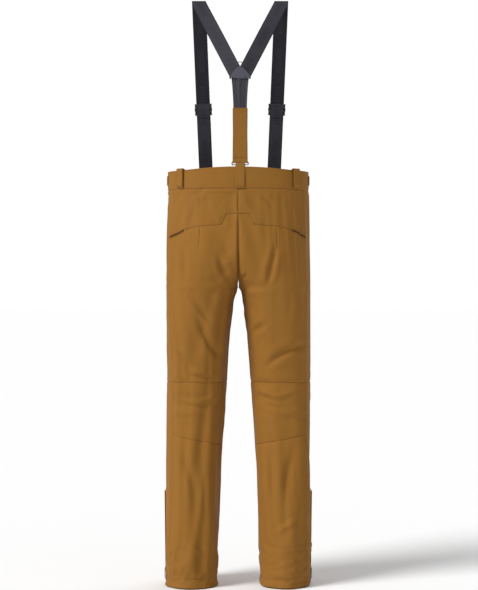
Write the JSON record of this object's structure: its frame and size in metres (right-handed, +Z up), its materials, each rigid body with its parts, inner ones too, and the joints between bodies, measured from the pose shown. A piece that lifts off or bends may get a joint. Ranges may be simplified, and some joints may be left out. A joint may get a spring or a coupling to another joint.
{
  "type": "padded trousers",
  "caption": "Padded ochre winter trousers with a raised back waistband, shaped knees, zipped cuffs and detachable elastic braces that join in a Y at the back.",
  "frame": {"origin": "centre of the waist opening, level with the top of the waistband at the sides", "axes": "+Z up along the wearer, the wearer faces -Y, +X is the wearer's left"},
  "size_m": [0.3988, 0.2599, 1.5792],
  "materials": {
    "shell_ochre": "woven, matte",
    "lining_grey": "smooth taffeta",
    "webbing_slate": "ribbed elastic webbing",
    "elastic_ochre": "covered elastic",
    "plastic_slate": "moulded, satin",
    "zip_brown": "coated zip tape",
    "metal_black": "black, satin",
    "hook_and_loop": "brushed loop pile"
  },
  "bodies": {
    "trousers": {"back_calf_L": "shell_ochre", "back_calf_R": "shell_ochre", "back_knee_L": "shell_ochre", "back_knee_R": "shell_ochre", "back_pocket_zip_L": "zip_brown", "back_pocket_zip_R": "zip_brown", "back_yoke_L": "shell_ochre", "back_yoke_R": "shell_ochre", "belt_loop_back": "shell_ochre", "belt_loop_front_L": "shell_ochre", "belt_loop_front_R": "shell_ochre", "belt_loop_side_L": "shell_ochre", "belt_loop_side_R": "shell_ochre", "cuff_tape_L": "zip_brown", "cuff_tape_R": "zip_brown", "fly_tape": "zip_brown", "front_shin_L": "shell_ochre", "front_shin_R": "shell_ochre", "front_thigh_L": "shell_ochre", "front_thigh_R": "shell_ochre", "loop_patch_L": "hook_and_loop", "loop_patch_R": "hook_and_loop", "pocket_tape_L": "zip_brown", "pocket_tape_R": "zip_brown", "seat_L": "shell_ochre", "seat_R": "shell_ochre", "snow_gaiter_L": "lining_grey", "snow_gaiter_R": "lining_grey", "waistband_back": "shell_ochre", "waistband_front_L": "shell_ochre", "waistband_front_R": "shell_ochre"},
    "adjuster_tab_L": {"adjuster_tab_L": "shell_ochre"},
    "pocket_slider_L": {"pocket_slider_L": "metal_black"},
    "pocket_pull_L": {"pocket_pull_L": "plastic_slate"},
    "cuff_slider_L": {"cuff_slider_L": "metal_black"},
    "cuff_pull_L": {"cuff_pull_L": "plastic_slate"},
    "adjuster_tab_R": {"adjuster_tab_R": "shell_ochre"},
    "pocket_slider_R": {"pocket_slider_R": "metal_black"},
    "pocket_pull_R": {"pocket_pull_R": "plastic_slate"},
    "cuff_slider_R": {"cuff_slider_R": "metal_black"},
    "cuff_pull_R": {"cuff_pull_R": "plastic_slate"},
    "fly_slider": {"fly_pull": "plastic_slate", "fly_slider": "metal_black"},
    "fly_flap": {"fly_flap": "shell_ochre"},
    "waist_tab": {"press_stud": "metal_black", "waist_tab": "shell_ochre"},
    "back_ring": {"back_ring": "metal_black"},
    "back_braces": {"back_elastic": "elastic_ochre", "back_stem": "webbing_slate", "shoulder_strap_L": "webbing_slate", "shoulder_strap_R": "webbing_slate", "y_joiner": "plastic_slate"},
    "front_strap_L": {"front_strap_L": "webbing_slate"},
    "strap_adjuster_L": {"strap_adjuster_L": "plastic_slate"},
    "front_tab_L": {"front_tab_L": "webbing_slate"},
    "front_strap_R": {"front_strap_R": "webbing_slate"},
    "strap_adjuster_R": {"strap_adjuster_R": "plastic_slate"},
    "front_tab_R": {"front_tab_R": "webbing_slate"}
  },
  "joints": [
    {"name": "back_ring_tilt", "type": "hinge", "parent": "trousers", "child": "back_ring", "pos_m": [-0.005, 0.11063, 0.0125], "axis": [-1, 0, 0], "range_deg": [0, 90]},
    {"name": "back_braces_tilt", "type": "hinge", "parent": "back_ring", "child": "back_braces", "pos_m": [-0.005, 0.11063, 0.0197], "axis": [-1, 0, 0], "range_deg": [0, 88]},
    {"name": "front_strap_swing_L", "type": "hinge", "parent": "back_braces", "child": "front_strap_L", "pos_m": [0.107, -0.0114, 0.4595], "axis": [-1, 0, 0], "range_deg": [0, 165]},
    {"name": "strap_adjuster_slide_L", "type": "slide", "parent": "front_strap_L", "child": "strap_adjuster_L", "axis": [-0.0362, -0.2406, -0.9699], "range_m": [-0.22, 0.13]},
    {"name": "front_tab_peel_L", "type": "hinge", "parent": "front_strap_L", "child": "front_tab_L", "pos_m": [0.09, -0.1229, 0.0015], "axis": [-1, 0, 0], "range_deg": [0, 60]},
    {"name": "adjuster_tab_peel_L", "type": "hinge", "parent": "trousers", "child": "adjuster_tab_L", "pos_m": [0.16951, -0.06358, -0.0235], "axis": [0, 0, -1], "range_deg": [0, 100]},
    {"name": "pocket_zip_L", "type": "slide", "parent": "trousers", "child": "pocket_slider_L", "axis": [0.1698, 0.1491, -0.9741], "range_m": [0, 0.13]},
    {"name": "pocket_pull_lift_L", "type": "hinge", "parent": "pocket_slider_L", "child": "pocket_pull_L", "pos_m": [0.16106, -0.08023, -0.07656], "axis": [-0.6389, -0.736, -0.224], "range_deg": [0, 150]},
    {"name": "cuff_zip_L", "type": "slide", "parent": "trousers", "child": "cuff_slider_L", "axis": [0.0144, -0.0549, 0.9984], "range_m": [0, 0.195]},
    {"name": "cuff_pull_lift_L", "type": "hinge", "parent": "cuff_slider_L", "child": "cuff_pull_L", "pos_m": [0.19877, 0.01606, -1.07413], "axis": [-0.0003, -0.9985, -0.0549], "range_deg": [0, 150]},
    {"name": "front_strap_swing_R", "type": "hinge", "parent": "back_braces", "child": "front_strap_R", "pos_m": [-0.117, -0.0114, 0.4595], "axis": [-1, 0, 0], "range_deg": [0, 165]},
    {"name": "strap_adjuster_slide_R", "type": "slide", "parent": "front_strap_R", "child": "strap_adjuster_R", "axis": [0.0362, -0.2406, -0.9699], "range_m": [-0.22, 0.13]},
    {"name": "front_tab_peel_R", "type": "hinge", "parent": "front_strap_R", "child": "front_tab_R", "pos_m": [-0.1, -0.1229, 0.0015], "axis": [-1, 0, 0], "range_deg": [0, 60]},
    {"name": "adjuster_tab_peel_R", "type": "hinge", "parent": "trousers", "child": "adjuster_tab_R", "pos_m": [-0.16951, -0.06358, -0.0235], "axis": [0, 0, 1], "range_deg": [0, 100]},
    {"name": "pocket_zip_R", "type": "slide", "parent": "trousers", "child": "pocket_slider_R", "axis": [-0.1698, 0.1491, -0.9741], "range_m": [0, 0.13]},
    {"name": "pocket_pull_lift_R", "type": "hinge", "parent": "pocket_slider_R", "child": "pocket_pull_R", "pos_m": [-0.16106, -0.08023, -0.07656], "axis": [-0.6389, 0.736, 0.224], "range_deg": [0, 150]},
    {"name": "cuff_zip_R", "type": "slide", "parent": "trousers", "child": "cuff_slider_R", "axis": [-0.0144, -0.0549, 0.9984], "range_m": [0, 0.195]},
    {"name": "cuff_pull_lift_R", "type": "hinge", "parent": "cuff_slider_R", "child": "cuff_pull_R", "pos_m": [-0.19877, 0.01606, -1.07413], "axis": [-0.0003, 0.9985, 0.0549], "range_deg": [0, 150]},
    {"name": "fly_zip", "type": "slide", "parent": "trousers", "child": "fly_slider", "axis": [0, 0.0501, -0.9987], "range_m": [0, 0.145]},
    {"name": "fly_flap_open", "type": "hinge", "parent": "trousers", "child": "fly_flap", "pos_m": [0.0262, -0.11829, -0.14543], "axis": [0, -0.0501, 0.9987], "range_deg": [0, 125]},
    {"name": "waist_tab_open", "type": "hinge", "parent": "trousers", "child": "waist_tab", "pos_m": [0.031, -0.11459, -0.02496], "axis": [0, 0.0286, 0.9996], "range_deg": [0, 150]}
  ]
}
